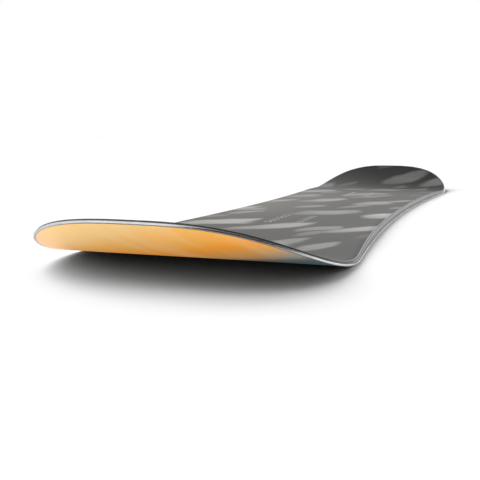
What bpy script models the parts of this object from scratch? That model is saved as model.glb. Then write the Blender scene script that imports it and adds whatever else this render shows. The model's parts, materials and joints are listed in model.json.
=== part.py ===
"""A sandwich-built all-mountain snowboard that lies flat on its base.

Metres. +X runs to the nose, +Y to the left of someone who faces the nose, +Z up. The origin is on the
running surface, midway between the two tips.

The board is a press-glued stack. From the snow up: running base with a steel edge round it, lower
fibreglass, rubber strips over the edge, a wood core of glued strips that is closed in by sidewalls and
tip spacers and that holds the threaded inserts for the bindings, upper fibreglass, topsheet.
Each piece is drawn in the flat plan, as stations along the outline, and bent up with the tips.
"""

import math

import bmesh
import bpy
import numpy as np

# Plan outline, seen from above
BOARD_LENGTH = 1.580
WAIST_WIDTH = 0.250
WAIST_SETBACK = 0.013
SIDECUT_RADIUS = 6.40
NOSE_TAPER_LENGTH = 0.236
TAIL_TAPER_LENGTH = 0.242
NOSE_TAPER_POWER = 1.83
TAIL_TAPER_POWER = 1.87
NOSE_ROUND_POWER = 2.92
TAIL_ROUND_POWER = 2.86

# Rocker line, seen from the side: flat between two kicks that rise as a power curve
NOSE_LIFT = 0.0547
TAIL_LIFT = 0.0511
NOSE_KICK_LENGTH = 0.244
TAIL_KICK_LENGTH = 0.246
NOSE_KICK_POWER = 2.16
TAIL_KICK_POWER = 2.02

# Thickness of each ply, and the gap between two pieces that are glued together
BASE_THICKNESS = 0.0011
LOWER_GLASS_THICKNESS = 0.00045
UPPER_GLASS_THICKNESS = 0.00045
TOPSHEET_THICKNESS = 0.00045
CORE_THICKNESS = 0.0064
TIP_CORE_THICKNESS = 0.0007
RUBBER_THICKNESS = 0.0003
GLUE_GAP = 0.0003

# Where the core thins out: past the insert packs, and all the way this far from the tips
CORE_TAPER_MARGIN = 0.030
CORE_THIN_LENGTH = 0.095

# Steel edge: a bar at the rim and a thin flange that the press clamps over the base
EDGE_BAR_WIDTH = 0.0020
EDGE_FLANGE_REACH = 0.0045
EDGE_FLANGE_THICKNESS = 0.00045

# Side face: set in a little from the steel, then slanted inwards as it rises
EDGE_STEP = 0.0005
SIDE_SLANT = math.radians(13.5)
SIDEWALL_WIDTH = 0.0090
RUBBER_WIDTH = 0.0079
RUBBER_SETBACK = 0.0008

# Tip spacers: crescents between the bowed end of the core and the rim
NOSE_SPACER_LENGTH = 0.105
TAIL_SPACER_LENGTH = 0.105
SPACER_BOW = 0.085

# Binding inserts: two packs of blind threaded nuts, pressed into the core from below
STANCE_WIDTH = 0.560
STANCE_SETBACK = 0.025
INSERT_ROWS = 6
ROW_SPACING = 0.020
COLUMN_SPACING = 0.040
INSERT_FLANGE_RADIUS = 0.0080
INSERT_FLANGE_THICKNESS = 0.0010
INSERT_BARREL_RADIUS = 0.0043
INSERT_BORE_RADIUS = 0.0025
INSERT_FLOOR = 0.0013
MOUNT_HOLE_RADIUS = 0.0035
CORE_STRIP_WIDTH = 0.0240
CORE_STRIP_MINIMUM = 0.0080

# Spacing of the stations that the solids are drawn through
TIP_STEP = 0.016
TAPER_STEP = 0.040
FLAT_STEP = 0.090
SPACER_STEP = 0.0085
SPACER_STEPS = 6
ROUND_SIDES = 10
OUTLINE_SAMPLES = 2000

HALF_LENGTH = BOARD_LENGTH / 2
NOSE_TAPER_START = HALF_LENGTH - NOSE_TAPER_LENGTH
TAIL_TAPER_START = TAIL_TAPER_LENGTH - HALF_LENGTH
NOSE_KICK_START = HALF_LENGTH - NOSE_KICK_LENGTH
TAIL_KICK_START = TAIL_KICK_LENGTH - HALF_LENGTH

# Heights above the running surface, square to it
FLANGE_BOTTOM = BASE_THICKNESS + GLUE_GAP
FLANGE_TOP = FLANGE_BOTTOM + EDGE_FLANGE_THICKNESS
LOWER_GLASS_TOP = FLANGE_BOTTOM + LOWER_GLASS_THICKNESS
CORE_BOTTOM = max(FLANGE_TOP, LOWER_GLASS_TOP) + GLUE_GAP
RUBBER_TOP = CORE_BOTTOM + RUBBER_THICKNESS
SIDEWALL_BOTTOM = RUBBER_TOP + GLUE_GAP

# Distances in from the outline
BASE_INSET = EDGE_BAR_WIDTH + GLUE_GAP
FLANGE_INSET = EDGE_BAR_WIDTH + EDGE_FLANGE_REACH
LOWER_GLASS_INSET = FLANGE_INSET + GLUE_GAP
CORE_INSET = SIDEWALL_WIDTH + GLUE_GAP

FRONT_PACK = STANCE_WIDTH / 2 - STANCE_SETBACK
REAR_PACK = -STANCE_WIDTH / 2 - STANCE_SETBACK
PACK_HALF_LENGTH = ROW_SPACING * (INSERT_ROWS - 1) / 2
INSERT_COLUMN = COLUMN_SPACING / 2
NOSE_CORE_TAPER = FRONT_PACK + PACK_HALF_LENGTH + CORE_TAPER_MARGIN
TAIL_CORE_TAPER = REAR_PACK - PACK_HALF_LENGTH - CORE_TAPER_MARGIN
BORDERS = [TAIL_KICK_START, TAIL_CORE_TAPER, NOSE_CORE_TAPER, NOSE_KICK_START]


def clear_scene():
    """Remove whatever the scene holds."""
    for item in list(bpy.data.objects):
        bpy.data.objects.remove(item, do_unlink=True)


def make_material(name, colour, roughness, metallic=0.0):
    """One Principled material."""
    material = bpy.data.materials.new(name)
    material.use_nodes = True
    shader = material.node_tree.nodes["Principled BSDF"]
    shader.inputs["Base Color"].default_value = (*colour, 1.0)
    shader.inputs["Roughness"].default_value = roughness
    shader.inputs["Metallic"].default_value = metallic
    return material


def sidecut(x):
    """Half width of the board if the sidecut arc ran on to the tips."""
    offset = x + WAIST_SETBACK
    return WAIST_WIDTH / 2 + SIDECUT_RADIUS - np.sqrt(SIDECUT_RADIUS**2 - offset**2)


def tip_outline(start, length, taper_power, round_power):
    """The left rim from where a tip starts to round off, out to the tip itself."""
    turn = np.linspace(0, math.pi / 2, OUTLINE_SAMPLES)
    x = start + length * np.sin(turn) ** (2 / taper_power)
    y = sidecut(x) * np.maximum(np.cos(turn), 0) ** (2 / round_power)
    y[-1] = 0
    return x, y


def trace_rim():
    """The left rim from tail tip to nose tip: distance along it, x, y and the outward normal."""
    nose_x, nose_y = tip_outline(
        NOSE_TAPER_START, NOSE_TAPER_LENGTH, NOSE_TAPER_POWER, NOSE_ROUND_POWER)
    tail_x, tail_y = tip_outline(
        TAIL_TAPER_START, -TAIL_TAPER_LENGTH, TAIL_TAPER_POWER, TAIL_ROUND_POWER)
    side_x = np.linspace(TAIL_TAPER_START, NOSE_TAPER_START, OUTLINE_SAMPLES)[1:-1]
    x = np.concatenate([tail_x[::-1], side_x, nose_x])
    y = np.concatenate([tail_y[::-1], sidecut(side_x), nose_y])
    steps = np.hypot(np.diff(x), np.diff(y))
    kept = np.concatenate([[True], steps > 0])
    x, y = x[kept], y[kept]
    along = np.concatenate([[0], np.cumsum(np.hypot(np.diff(x), np.diff(y)))])
    heading_x, heading_y = np.gradient(x, along), np.gradient(y, along)
    size = np.hypot(heading_x, heading_y)
    normal_x, normal_y = -heading_y / size, heading_x / size
    normal_x[0], normal_y[0] = -1, 0
    normal_x[-1], normal_y[-1] = 1, 0
    return along, x, y, normal_x, normal_y


ALONG, RIM_X, RIM_Y, NORMAL_X, NORMAL_Y = trace_rim()
RIM_LENGTH = ALONG[-1]


def rim(s, inset=0.0):
    """Plan point at distance s along the left rim, moved in from the outline."""
    x = np.interp(s, ALONG, RIM_X) - inset * np.interp(s, ALONG, NORMAL_X)
    y = np.interp(s, ALONG, RIM_Y) - inset * np.interp(s, ALONG, NORMAL_Y)
    return x, y


def rim_distance(x, inset=0.0):
    """Distance along the rim where the inset outline passes x."""
    return np.interp(x, RIM_X - inset * NORMAL_X, ALONG)


def width_at(x, inset):
    """Half width of the outline at x, less an inset."""
    return np.interp(x, RIM_X - inset * NORMAL_X, RIM_Y - inset * NORMAL_Y)


def rocker(x):
    """Height and slope of the running surface at x."""
    nose = max(x - NOSE_KICK_START, 0) / NOSE_KICK_LENGTH
    tail = max(TAIL_KICK_START - x, 0) / TAIL_KICK_LENGTH
    height = NOSE_LIFT * nose**NOSE_KICK_POWER + TAIL_LIFT * tail**TAIL_KICK_POWER
    slope = NOSE_LIFT * NOSE_KICK_POWER / NOSE_KICK_LENGTH * nose ** (NOSE_KICK_POWER - 1)
    slope -= TAIL_LIFT * TAIL_KICK_POWER / TAIL_KICK_LENGTH * tail ** (TAIL_KICK_POWER - 1)
    return height, slope


def bend(x, y, height):
    """Bend a point of the flat plan up with the rocker; height is square to the running surface."""
    rise, slope = rocker(x)
    square = 1 / math.hypot(1, slope)
    return x - height * slope * square, y, rise + height * square


def core_top(x):
    """Top of the core: full under the bindings, then an even S-curve down to the tips."""
    if x > 0:
        progress = (x - NOSE_CORE_TAPER) / (HALF_LENGTH - CORE_THIN_LENGTH - NOSE_CORE_TAPER)
    else:
        progress = (TAIL_CORE_TAPER - x) / (HALF_LENGTH - CORE_THIN_LENGTH + TAIL_CORE_TAPER)
    progress = min(max(progress, 0), 1)
    fade = progress * progress * (3 - 2 * progress)
    return CORE_BOTTOM + CORE_THICKNESS + (TIP_CORE_THICKNESS - CORE_THICKNESS) * fade


def level(height):
    """The same height all along the board."""
    return lambda x: height


def over_core(height):
    """A height counted from the top of the core."""
    return lambda x: core_top(x) + height


def slanted_inset(height):
    """How far in from the outline the slanted side face stands at a height."""
    return EDGE_STEP + height * math.tan(SIDE_SLANT)


def rim_point(s, height_at, inset=None):
    """A point beside the rim; without an inset it lies on the slanted side face."""
    height = height_at(rim(s)[0])
    if inset is None:
        inset = slanted_inset(height)
    x, y = rim(s, inset)
    return bend(x, y, height_at(x))


def mirrored(point):
    """The same point on the right half of the board."""
    return point[0], -point[1], point[2]


def step_at(x):
    """Spacing of stations: close where the board bends up, wide where it is flat."""
    if not TAIL_KICK_START < x < NOSE_KICK_START:
        return TIP_STEP
    if not TAIL_CORE_TAPER < x < NOSE_CORE_TAPER:
        return TAPER_STEP
    return FLAT_STEP


def stations_between(start, end, borders, x_at=float):
    """Stations from start to end, with one on each border; x_at gives a station's place along X."""
    marks = [start, *sorted(mark for mark in set(borders) if start < mark < end), end]
    stations = [start]
    for low, high in zip(marks, marks[1:]):
        count = max(1, math.ceil((high - low) / step_at(x_at((low + high) / 2))))
        stations.extend(np.linspace(low, high, count + 1)[1:])
    return stations


def rim_stations(start=0.0, end=RIM_LENGTH):
    """Stations along the rim, which every rail and sheet shares."""
    borders = [float(rim_distance(x)) for x in BORDERS]
    stations = stations_between(0.0, RIM_LENGTH, borders, lambda s: rim(s)[0])
    inner = [s for s in stations if start + TIP_STEP / 2 < s < end - TIP_STEP / 2]
    return [start, *inner, end]


def finish_mesh(bm, name):
    """Close up doubled points, point the faces outwards and return the mesh."""
    bmesh.ops.remove_doubles(bm, verts=bm.verts, dist=1e-6)
    bmesh.ops.dissolve_degenerate(bm, edges=bm.edges, dist=1e-7)
    bmesh.ops.recalc_face_normals(bm, faces=bm.faces)
    mesh = bpy.data.meshes.new(name)
    bm.to_mesh(mesh)
    bm.free()
    mesh.shade_smooth()
    mesh.set_sharp_from_angle(angle=math.radians(30))
    return mesh


def add_object(name, mesh, material, parent, location=(0, 0, 0)):
    """Put a mesh in the scene under its parent."""
    item = bpy.data.objects.new(name, mesh)
    item.location = location
    item.parent = parent
    if material:
        mesh.materials.clear()
        mesh.materials.append(material)
    bpy.context.scene.collection.objects.link(item)
    return item


def swept(name, sections, material, parent):
    """A solid pulled from one cross-section to the next, like a profile through a jig."""
    bm = bmesh.new()
    profile = bm.faces.new([bm.verts.new(corner) for corner in sections[0]])
    for section in sections[1:]:
        pulled = bmesh.ops.extrude_face_region(bm, geom=[profile, *profile.edges, *profile.verts])
        profile = next(part for part in pulled["geom"] if isinstance(part, bmesh.types.BMFace))
        for vertex, corner in zip(profile.verts, section):
            vertex.co = corner
    return add_object(name, finish_mesh(bm, name), material, parent)


def turned(name, profile):
    """A turned shape: radius and height pairs, from the axis below to the axis above."""
    bm = bmesh.new()
    points = [bm.verts.new((radius, 0, height)) for radius, height in profile]
    edges = [bm.edges.new(pair) for pair in zip(points, points[1:])]
    bmesh.ops.spin(bm, geom=points + edges, cent=(0, 0, 0), axis=(0, 0, 1),
                   angle=2 * math.pi, steps=ROUND_SIDES, use_merge=True)
    return finish_mesh(bm, name)


def make_sheet(name, low, high, material, parent, inset=None):
    """A ply that fills the outline; its rim stands at an inset, or follows the side face."""
    sections = []
    for s in rim_stations():
        lower = rim_point(s, low, inset)
        upper = rim_point(s, high, inset)
        sections.append([mirrored(lower), lower, upper, mirrored(upper)])
    return swept(name, sections, material, parent)


def make_rail(name, corners, stations, side, material, parent):
    """A strip that runs along one rim; corners are pairs of height function and inset."""
    sections = []
    for s in stations:
        section = [rim_point(s, height_at, inset) for height_at, inset in corners]
        sections.append([mirrored(point) for point in section] if side == "right" else section)
    return swept(name, sections, material, parent)


def make_edges(material, parent):
    """The steel edge in two halves, which meet at the nose tip and at the tail tip."""
    corners = [(level(0), 0.0), (level(FLANGE_TOP), 0.0), (level(FLANGE_TOP), FLANGE_INSET),
               (level(FLANGE_BOTTOM), FLANGE_INSET), (level(FLANGE_BOTTOM), EDGE_BAR_WIDTH),
               (level(0), EDGE_BAR_WIDTH)]
    stations = rim_stations(GLUE_GAP / 2, RIM_LENGTH - GLUE_GAP / 2)
    for side in ("left", "right"):
        make_rail(f"steel_edge_{side}", corners, stations, side, material, parent)


def core_joints():
    """Glue joints between the core's strips, counted outwards from the centreline."""
    first = INSERT_COLUMN - CORE_STRIP_WIDTH / 2
    room = float(width_at(-WAIST_SETBACK, CORE_INSET)) - CORE_STRIP_MINIMUM - first
    count = max(2, int(room / CORE_STRIP_WIDTH) + 1)
    return [first + CORE_STRIP_WIDTH * number for number in range(count)]


def core_corner(end):
    """Where the bowed end of the core meets the sidewall: x, y and distance along the rim."""
    if end == "nose":
        x = HALF_LENGTH - NOSE_SPACER_LENGTH - SPACER_BOW
    else:
        x = TAIL_SPACER_LENGTH + SPACER_BOW - HALF_LENGTH
    return x, float(width_at(x, CORE_INSET)), float(rim_distance(x, CORE_INSET))


def core_end(end):
    """The end of the core as it is sawn: straight from joint to joint, bowed towards the tip."""
    corner_x, corner_y, _ = core_corner(end)
    outward = 1 if end == "nose" else -1
    corners = [*core_joints(), corner_y]
    return [(corner_x + outward * SPACER_BOW * (1 - (y / corner_y) ** 2), y) for y in corners]


def core_reach(end, y):
    """How far along X the core runs at a distance y from the centreline."""
    line = core_end(end)
    return float(np.interp(y, [point[1] for point in line], [point[0] for point in line]))


def core_half_width(x):
    """Half width of the core at x: out to the sidewall, then drawn in along the bowed end."""
    for end in ("nose", "tail"):
        line = core_end(end)
        corner_x = line[-1][0]
        if abs(x) > abs(corner_x) and x * corner_x > 0:
            reach = [abs(point[0]) for point in reversed(line)]
            return float(np.interp(abs(x), reach, [point[1] for point in reversed(line)]))
    return float(width_at(x, CORE_INSET))


def make_side_strips(sidewall, rubber, parent):
    """Sidewalls as long as the core, and the rubber strips that bed them on the steel edge."""
    stations = rim_stations(core_corner("tail")[2], core_corner("nose")[2])
    bed = [(level(CORE_BOTTOM), RUBBER_SETBACK), (level(RUBBER_TOP), RUBBER_SETBACK),
           (level(RUBBER_TOP), RUBBER_SETBACK + RUBBER_WIDTH),
           (level(CORE_BOTTOM), RUBBER_SETBACK + RUBBER_WIDTH)]
    wall = [(level(SIDEWALL_BOTTOM), None), (core_top, None),
            (core_top, SIDEWALL_WIDTH), (level(SIDEWALL_BOTTOM), SIDEWALL_WIDTH)]
    for side in ("left", "right"):
        make_rail(f"rubber_strip_{side}", bed, stations, side, rubber, parent)
        make_rail(f"sidewall_{side}", wall, stations, side, sidewall, parent)


def spacer_inner(end):
    """The spacer's inner face, a glue gap off the core's end, from the sidewall to the middle."""
    outward = 1 if end == "nose" else -1
    line = core_end(end)[::-1]
    points = []
    for (x, y), (next_x, next_y) in zip(line, line[1:]):
        count = max(1, math.ceil((y - next_y) / SPACER_STEP))
        for share in np.linspace(0, 1, count, endpoint=False):
            points.append((x + (next_x - x) * share, y + (next_y - y) * share))
    points.append(line[-1])
    shifted = []
    for number, (x, y) in enumerate(points):
        before, after = points[max(number - 1, 0)], points[min(number + 1, len(points) - 1)]
        run_x, run_y = after[0] - before[0], after[1] - before[1]
        size = math.hypot(run_x, run_y)
        shifted.append((x + outward * GLUE_GAP * abs(run_y) / size, y + GLUE_GAP * abs(run_x) / size))
    return shifted


def make_spacer(end, material, parent):
    """The crescent that fills one tip between the core and the rim."""
    inner_line = spacer_inner(end)
    corner_s = core_corner(end)[2]
    start, tip = (corner_s + GLUE_GAP, RIM_LENGTH) if end == "nose" else (corner_s - GLUE_GAP, 0.0)
    reach = inner_line[0][1]
    half = []
    for inner in inner_line:
        s = tip + (start - tip) * inner[1] / reach
        lower, upper = [], []
        for share in np.linspace(0, 1, SPACER_STEPS + 1):
            for row, height_at in ((lower, level(CORE_BOTTOM)), (upper, core_top)):
                outer = rim(s, slanted_inset(height_at(rim(s)[0])))
                x = inner[0] + (outer[0] - inner[0]) * share
                y = inner[1] + (outer[1] - inner[1]) * share
                row.append(bend(x, y, height_at(x)))
        half.append(lower + upper[::-1])
    other = [[mirrored(point) for point in section] for section in half]
    swept(f"{end}_spacer", half + other[::-1], material, parent)


def make_strip(name, inner_y, outer_y, material, parent, side="left"):
    """One wood strip, sawn to the core's outline where that is narrower."""
    start, stop = core_reach("tail", inner_y), core_reach("nose", inner_y)
    borders = [*BORDERS, *(x for end in ("tail", "nose") for x, y in core_end(end))]
    sections = []
    for x in stations_between(start, stop, borders):
        outer = min(outer_y, core_half_width(x))
        near = max(inner_y, -outer)
        section = [bend(x, near, CORE_BOTTOM), bend(x, outer, CORE_BOTTOM),
                   bend(x, outer, core_top(x)), bend(x, near, core_top(x))]
        sections.append([mirrored(point) for point in section] if side == "right" else section)
    return swept(name, sections, material, parent)


def make_core(soft_wood, hard_wood, parent):
    """Glued strips, with the two that carry the inserts centred on their columns."""
    half_gap = GLUE_GAP / 2
    joints = core_joints()
    make_strip("core_strip_centre", half_gap - joints[0], joints[0] - half_gap, soft_wood, parent)
    insert_strips = []
    for side in ("left", "right"):
        for number, joint in enumerate(joints):
            outer = joint + CORE_STRIP_WIDTH - half_gap
            if joint == joints[-1]:
                name, outer, wood = f"core_strip_{side}_rim", HALF_LENGTH, soft_wood
            elif number == 0:
                name, wood = f"core_strip_insert_{side}", hard_wood
            else:
                name = f"core_strip_{side}_{number}"
                wood = hard_wood if number % 2 == 0 else soft_wood
            strip = make_strip(name, joint + half_gap, outer, wood, parent, side)
            if number == 0:
                insert_strips.append(strip)
    return insert_strips


def insert_places():
    """Where the inserts stand inside one pack."""
    for row in range(INSERT_ROWS):
        for column in (-1, 1):
            yield row * ROW_SPACING - PACK_HALF_LENGTH, column * INSERT_COLUMN


def insert_profile(clearance=0.0, bottom=CORE_BOTTOM, top=CORE_BOTTOM + CORE_THICKNESS):
    """Outline of an insert, a flange below a barrel, grown all round by a clearance."""
    flange = INSERT_FLANGE_RADIUS + clearance
    barrel = INSERT_BARREL_RADIUS + clearance
    shoulder = CORE_BOTTOM + INSERT_FLANGE_THICKNESS + clearance
    return [(0, bottom), (flange, bottom), (flange, shoulder), (barrel, shoulder), (barrel, top)]


def make_insert_packs(material, root):
    """Two packs of inserts, which share one turned mesh."""
    top = CORE_BOTTOM + CORE_THICKNESS
    bore = [(INSERT_BORE_RADIUS, top), (INSERT_BORE_RADIUS, CORE_BOTTOM + INSERT_FLOOR),
            (0, CORE_BOTTOM + INSERT_FLOOR)]
    mesh = turned("insert", insert_profile() + bore)
    for pack_name, x in (("front", FRONT_PACK), ("rear", REAR_PACK)):
        pack = bpy.data.objects.new(f"{pack_name}_insert_pack", None)
        pack.location = (x, 0, 0)
        pack.parent = root
        bpy.context.scene.collection.objects.link(pack)
        for number, place in enumerate(insert_places(), start=1):
            add_object(f"insert_{pack_name}_{number:02d}", mesh, material, pack, (*place, 0))


def make_cutter(name, profile, root):
    """One cutter that stands in the place of every insert."""
    tool = turned(name, profile)
    bm = bmesh.new()
    for x in (FRONT_PACK, REAR_PACK):
        for place in insert_places():
            before = len(bm.verts)
            bm.from_mesh(tool)
            bm.verts.ensure_lookup_table()
            bmesh.ops.translate(bm, verts=bm.verts[before:], vec=(x + place[0], place[1], 0))
    bm.to_mesh(tool)
    bm.free()
    cutter = add_object(name, tool, None, root)
    cutter.hide_render = True
    cutter.display_type = "WIRE"
    return cutter


def cut(target, cutter):
    """Take a cutter's shape out of a piece."""
    modifier = target.modifiers.new("holes", "BOOLEAN")
    modifier.operation = "DIFFERENCE"
    modifier.solver = "EXACT"
    modifier.object = cutter


def make_board():
    """The whole board, from the snow up."""
    root = bpy.data.objects.new("snowboard", None)
    bpy.context.scene.collection.objects.link(root)
    base_plastic = make_material("base_plastic", (0.87, 0.43, 0.10), 0.38)
    edge_steel = make_material("edge_steel", (0.62, 0.63, 0.65), 0.28, 1.0)
    edge_rubber = make_material("edge_rubber", (0.03, 0.03, 0.03), 0.85)
    fibreglass = make_material("fibreglass", (0.62, 0.66, 0.55), 0.45)
    sidewall_plastic = make_material("sidewall_plastic", (0.16, 0.16, 0.16), 0.45)
    tip_plastic = make_material("tip_plastic", (0.22, 0.22, 0.22), 0.45)
    soft_wood = make_material("soft_wood", (0.72, 0.56, 0.36), 0.65)
    hard_wood = make_material("hard_wood", (0.50, 0.33, 0.18), 0.60)
    insert_steel = make_material("insert_steel", (0.55, 0.55, 0.56), 0.30, 1.0)
    topsheet_film = make_material("topsheet_film", (0.18, 0.18, 0.175), 0.32)

    make_sheet("base_sheet", level(0), level(BASE_THICKNESS), base_plastic, root, BASE_INSET)
    make_edges(edge_steel, root)
    make_sheet("lower_glass", level(FLANGE_BOTTOM), level(LOWER_GLASS_TOP), fibreglass, root,
               LOWER_GLASS_INSET)
    make_side_strips(sidewall_plastic, edge_rubber, root)
    for end in ("nose", "tail"):
        make_spacer(end, tip_plastic, root)

    overrun = MOUNT_HOLE_RADIUS
    cutter_top = CORE_BOTTOM + CORE_THICKNESS + overrun
    insert_cutter = make_cutter(
        "insert_cutter",
        [*insert_profile(GLUE_GAP, CORE_BOTTOM - overrun, cutter_top), (0, cutter_top)], root)
    for strip in make_core(soft_wood, hard_wood, root):
        cut(strip, insert_cutter)
    make_insert_packs(insert_steel, root)

    glass_low, glass_high = GLUE_GAP, GLUE_GAP + UPPER_GLASS_THICKNESS
    film_low = glass_high + GLUE_GAP
    film_high = film_low + TOPSHEET_THICKNESS
    hole_bottom = CORE_BOTTOM + CORE_THICKNESS
    hole_top = hole_bottom + film_high + overrun
    hole_cutter = make_cutter(
        "mount_hole_cutter",
        [(0, hole_bottom), (MOUNT_HOLE_RADIUS, hole_bottom), (MOUNT_HOLE_RADIUS, hole_top),
         (0, hole_top)], root)
    upper_glass = make_sheet("upper_glass", over_core(glass_low), over_core(glass_high),
                             fibreglass, root)
    topsheet = make_sheet("topsheet", over_core(film_low), over_core(film_high), topsheet_film, root)
    cut(upper_glass, hole_cutter)
    cut(topsheet, hole_cutter)


clear_scene()
make_board()
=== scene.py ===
# %% [markdown]
# An all-mountain snowboard on a white studio floor.
#
# A snowboard is a press-glued stack of thin layers. What shows of it is its deck film, its base, its steel
# edge and the narrow side face, so those pieces are modelled finely here. The layers that the stack closes
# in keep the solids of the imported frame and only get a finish.

# %% Load the frame
import json
import math

import bmesh
import bpy
import numpy as np
from mathutils import Matrix, Vector


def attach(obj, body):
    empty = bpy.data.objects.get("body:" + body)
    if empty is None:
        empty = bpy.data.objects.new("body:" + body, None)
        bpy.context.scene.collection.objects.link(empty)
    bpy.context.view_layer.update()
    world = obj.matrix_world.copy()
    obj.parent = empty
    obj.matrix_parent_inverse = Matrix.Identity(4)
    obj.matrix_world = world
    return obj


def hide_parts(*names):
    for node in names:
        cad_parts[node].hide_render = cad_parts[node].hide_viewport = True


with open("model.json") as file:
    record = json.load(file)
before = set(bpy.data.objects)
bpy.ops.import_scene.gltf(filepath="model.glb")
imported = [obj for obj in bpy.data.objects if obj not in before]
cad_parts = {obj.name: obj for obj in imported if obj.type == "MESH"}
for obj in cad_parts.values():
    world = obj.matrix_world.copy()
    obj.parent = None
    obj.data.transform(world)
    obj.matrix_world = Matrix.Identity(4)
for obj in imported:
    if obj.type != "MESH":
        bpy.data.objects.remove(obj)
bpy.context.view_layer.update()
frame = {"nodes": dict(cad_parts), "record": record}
nodes = frame["nodes"]

# %% [markdown]
# The camera is the first thing to set, because every later judgement is made through it. The photographer
# stood low in front of the nose with a short telephoto lens, so the nose looms and the deck is seen at a
# grazing angle. A camera can be aimed with a constraint or by a matrix. The matrix is chosen because it
# holds the small roll as well.

# %% Camera
CAMERA_PLACE = Vector((1.4038, 0.2915, 0.1265))
CAMERA_YAW = 0.3099
CAMERA_PITCH = 0.1240
CAMERA_ROLL = 0.0116
CAMERA_LENS = 62.88
SENSOR_WIDTH = 36.0
NOSE_TIP = Vector((0.790, 0.0, 0.055))


def direction(azimuth, elevation):
    """The unit vector towards an azimuth and an elevation."""
    level = math.cos(elevation)
    return Vector((math.cos(azimuth) * level, math.sin(azimuth) * level, math.sin(elevation)))


def aim(place, yaw, pitch, roll):
    """A camera matrix: yaw from the board's own line, pitch down, roll about the line of sight."""
    forward = -direction(yaw, pitch)
    right = forward.cross(Vector((0, 0, 1))).normalized()
    up = right.cross(forward)
    rolled_right = right * math.cos(roll) + up * math.sin(roll)
    rolled_up = up * math.cos(roll) - right * math.sin(roll)
    turn = Matrix((rolled_right, rolled_up, -forward)).transposed()
    return Matrix.Translation(place) @ turn.to_4x4()


def in_scene(name, data):
    """A new object, linked to the scene."""
    made = bpy.data.objects.new(name, data)
    bpy.context.scene.collection.objects.link(made)
    return made


camera = in_scene("camera", bpy.data.cameras.new("camera"))
camera.data.lens = CAMERA_LENS
camera.data.sensor_width = SENSOR_WIDTH
camera.matrix_world = aim(CAMERA_PLACE, CAMERA_YAW, CAMERA_PITCH, CAMERA_ROLL)
bpy.context.scene.camera = camera
print("Camera stands", round((CAMERA_PLACE - NOSE_TIP).length, 3), "m from the nose tip")

# %% [markdown]
# A board is designed twice: once in the flat plan, and once from the side. The plan is a sidecut arc with a
# rounded tip at each end, and the side view is flat between two kicks that rise as a power curve. The same
# values as in the solids are used here, so the fine pieces lie where the solids lie.

# %% Plan outline and rocker line
BOARD_LENGTH = 1.580
WAIST_WIDTH = 0.250
WAIST_SETBACK = 0.013
SIDECUT_RADIUS = 6.40
NOSE_TAPER_LENGTH, TAIL_TAPER_LENGTH = 0.236, 0.242
NOSE_TAPER_POWER, TAIL_TAPER_POWER = 1.83, 1.87
NOSE_ROUND_POWER, TAIL_ROUND_POWER = 2.92, 2.86
NOSE_LIFT, TAIL_LIFT = 0.0547, 0.0511
NOSE_KICK_LENGTH, TAIL_KICK_LENGTH = 0.244, 0.246
NOSE_KICK_POWER, TAIL_KICK_POWER = 2.16, 2.02
OUTLINE_SAMPLES = 3000

HALF_LENGTH = BOARD_LENGTH / 2
NOSE_KICK_START = HALF_LENGTH - NOSE_KICK_LENGTH
TAIL_KICK_START = TAIL_KICK_LENGTH - HALF_LENGTH


def sidecut(x):
    """Half width of the board if the sidecut arc ran on to the tips."""
    offset = x + WAIST_SETBACK
    return WAIST_WIDTH / 2 + SIDECUT_RADIUS - np.sqrt(SIDECUT_RADIUS**2 - offset**2)


def tip_outline(start, length, taper_power, round_power):
    """The left rim from where a tip starts to round off, out to the tip itself."""
    turn = np.linspace(0, math.pi / 2, OUTLINE_SAMPLES)
    x = start + length * np.sin(turn) ** (2 / taper_power)
    y = sidecut(x) * np.maximum(np.cos(turn), 0) ** (2 / round_power)
    y[-1] = 0
    return x, y


def trace_rim():
    """The left rim from tail tip to nose tip: distance along it, x, y and the outward normal."""
    nose_start = HALF_LENGTH - NOSE_TAPER_LENGTH
    tail_start = TAIL_TAPER_LENGTH - HALF_LENGTH
    nose_x, nose_y = tip_outline(nose_start, NOSE_TAPER_LENGTH, NOSE_TAPER_POWER, NOSE_ROUND_POWER)
    tail_x, tail_y = tip_outline(tail_start, -TAIL_TAPER_LENGTH, TAIL_TAPER_POWER, TAIL_ROUND_POWER)
    side_x = np.linspace(tail_start, nose_start, OUTLINE_SAMPLES)[1:-1]
    x = np.concatenate([tail_x[::-1], side_x, nose_x])
    y = np.concatenate([tail_y[::-1], sidecut(side_x), nose_y])
    kept = np.concatenate([[True], np.hypot(np.diff(x), np.diff(y)) > 0])
    x, y = x[kept], y[kept]
    along = np.concatenate([[0], np.cumsum(np.hypot(np.diff(x), np.diff(y)))])
    heading_x, heading_y = np.gradient(x, along), np.gradient(y, along)
    size = np.hypot(heading_x, heading_y)
    normal_x, normal_y = -heading_y / size, heading_x / size
    normal_x[0], normal_y[0] = -1, 0
    normal_x[-1], normal_y[-1] = 1, 0
    return along, x, y, normal_x, normal_y


ALONG, RIM_X, RIM_Y, NORMAL_X, NORMAL_Y = trace_rim()
RIM_LENGTH = float(ALONG[-1])


def rim(s, inset=0.0):
    """Plan point at distance s along the left rim, moved in from the outline."""
    x = np.interp(s, ALONG, RIM_X) - inset * np.interp(s, ALONG, NORMAL_X)
    y = np.interp(s, ALONG, RIM_Y) - inset * np.interp(s, ALONG, NORMAL_Y)
    return float(x), float(y)


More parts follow.
